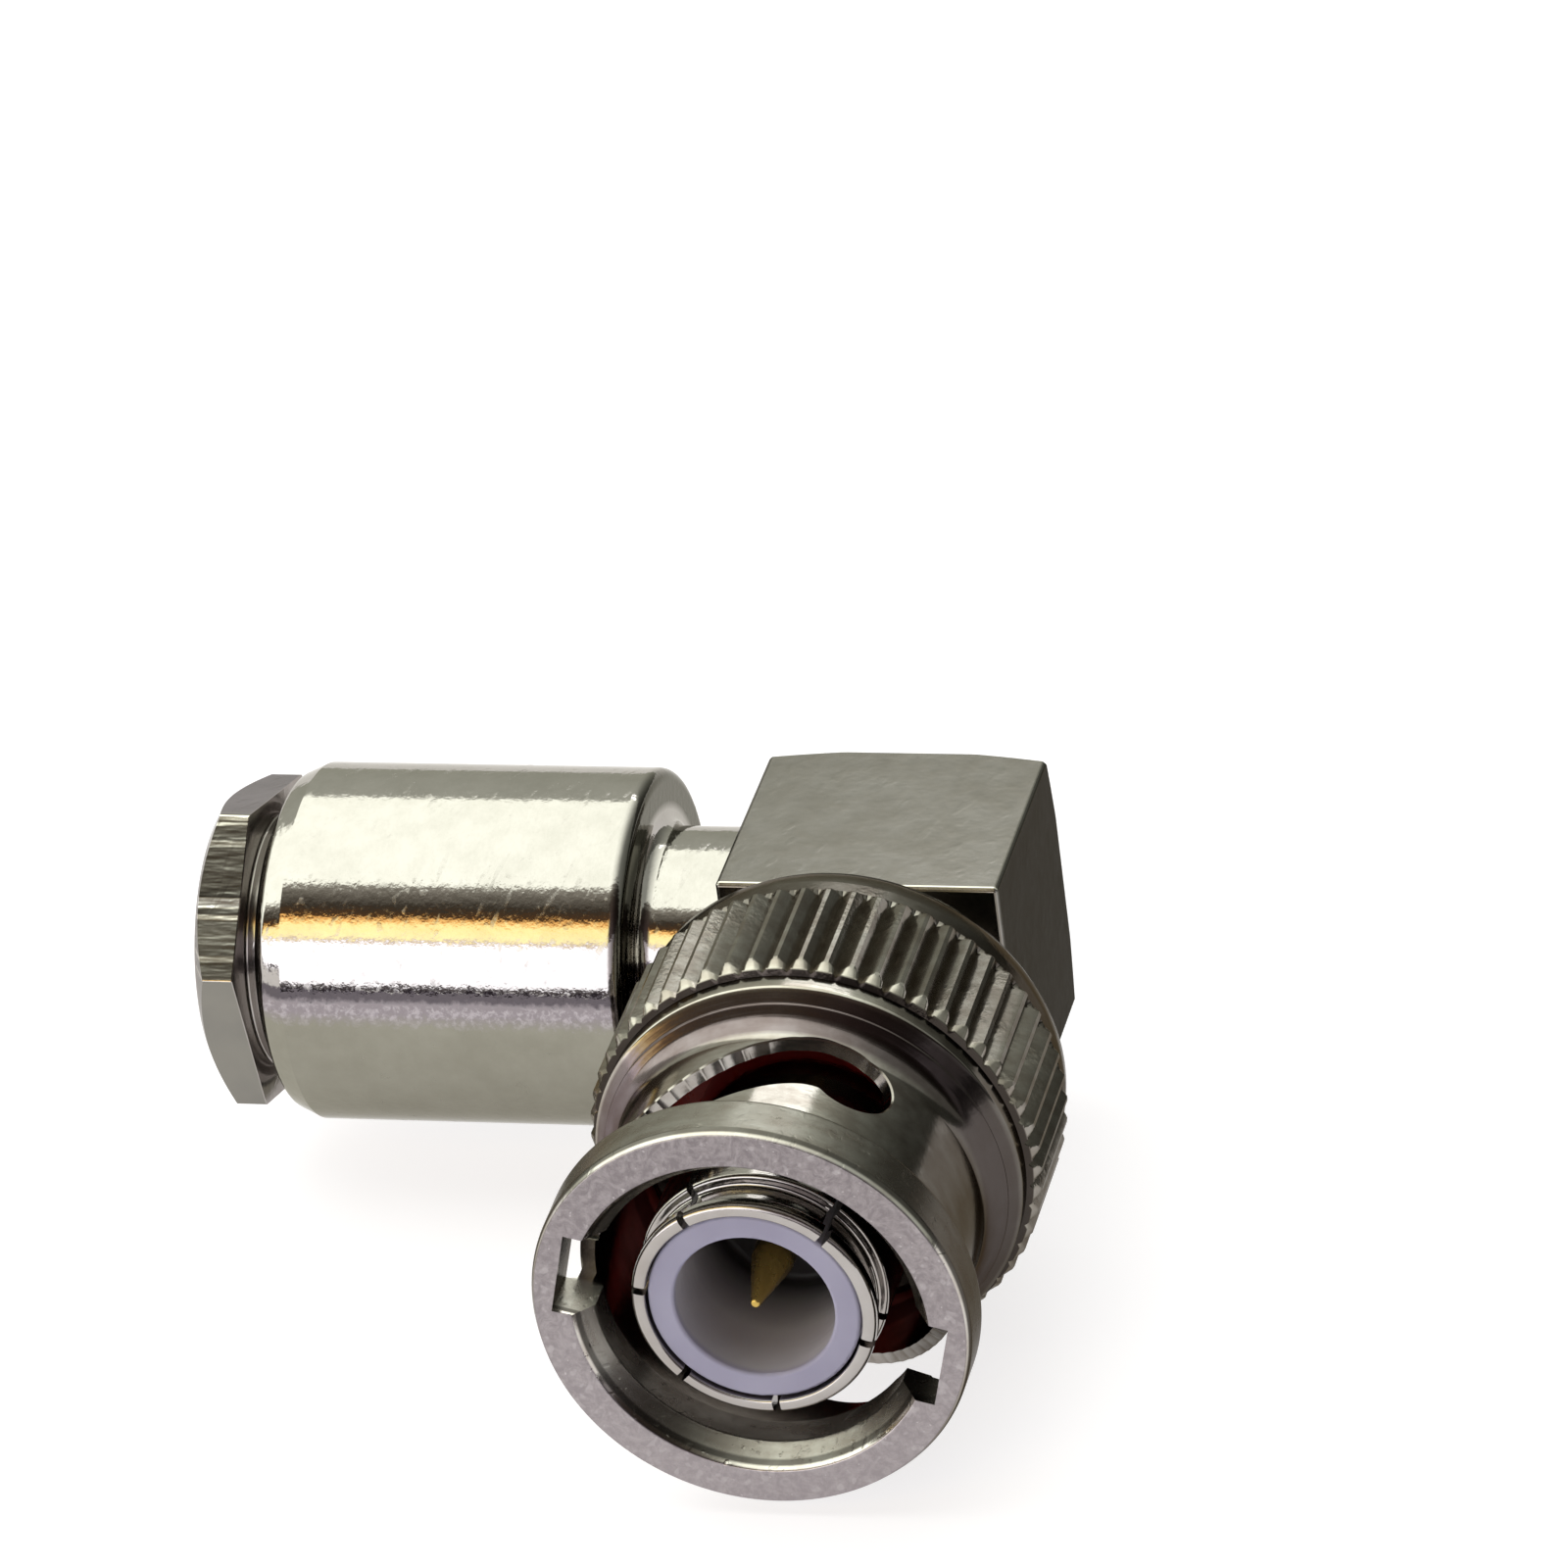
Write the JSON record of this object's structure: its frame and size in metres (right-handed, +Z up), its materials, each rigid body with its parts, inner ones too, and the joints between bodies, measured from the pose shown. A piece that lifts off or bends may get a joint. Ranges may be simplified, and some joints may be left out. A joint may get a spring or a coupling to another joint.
{
  "type": "bnc clamp connector",
  "caption": "Right-angle bayonet coaxial plug: a square elbow body carries a knurled coupling nut with curved slots, and a round barrel with a hexagonal cable clamp nut.",
  "frame": {"origin": "centre line crossing of plug and cable axes, dropped onto the underside of the square body", "axes": "-Y is the mating direction of the plug, -X is the way the cable leaves, +Z is up and square to both"},
  "size_m": [0.0302, 0.0273, 0.0149],
  "materials": {
    "body_nickel": "nickel plated, fine milled grain",
    "contact_nickel": "nickel plated, turned",
    "nut_nickel": "nickel plated, turned and knurled",
    "barrel_nickel": "nickel plated, polished",
    "clamp_nickel": "nickel plated, turned",
    "cap_nickel": "nickel plated, milled",
    "washer_brass": "nickel plated, plain",
    "spring_steel": "bright spring steel",
    "gold_plate": "gold plated",
    "white_insulator": "white fluoropolymer",
    "red_silicone": "dark red silicone",
    "black_rubber": "black rubber"
  },
  "bodies": {
    "plug_body": {"body_block": "body_nickel", "plug_shell": "contact_nickel", "front_insulator": "white_insulator", "rear_insulator": "white_insulator", "centre_contact": "gold_plate", "retaining_ring": "spring_steel", "mating_gasket": "red_silicone", "wave_washer_front": "spring_steel", "wave_washer_rear": "spring_steel", "clamp_barrel": "barrel_nickel", "barrel_insulator": "white_insulator"},
    "spring_carrier": {"thrust_washer": "washer_brass"},
    "coupling_nut": {"coupling_nut": "nut_nickel"},
    "clamp_stack": {"clamp_washer": "washer_brass", "clamp_gasket": "black_rubber", "braid_clamp": "washer_brass"},
    "clamp_nut": {"clamp_nut": "clamp_nickel"},
    "access_cap": {"access_cap": "cap_nickel"}
  },
  "joints": [
    {"name": "nut_spring_travel", "type": "slide", "parent": "plug_body", "child": "spring_carrier", "axis": [0, -1, 0], "range_m": [0, 0.0006], "stiffness_N_per_m": 12000, "deforming": ["wave_washer_front", "wave_washer_rear"]},
    {"name": "nut_turn", "type": "hinge", "parent": "spring_carrier", "child": "coupling_nut", "pos_m": [0, 0, 0.00475], "axis": [0, -1, 0], "continuous": true},
    {"name": "clamp_travel", "type": "slide", "parent": "plug_body", "child": "clamp_stack", "axis": [-1, 0, 0], "range_m": [-0.0006, 0.00225]},
    {"name": "clamp_turn", "type": "hinge", "parent": "clamp_stack", "child": "clamp_nut", "pos_m": [0, 0, 0.00475], "axis": [-1, 0, 0], "range_deg": [-288, 1080]},
    {"name": "cap_out", "type": "slide", "parent": "plug_body", "child": "access_cap", "axis": [0, 1, 0], "range_m": [0, 0.0045]}
  ],
  "couplings": [
    {"joint": "clamp_turn", "follows": "clamp_travel", "rad_per_m": 8377.6}
  ]
}
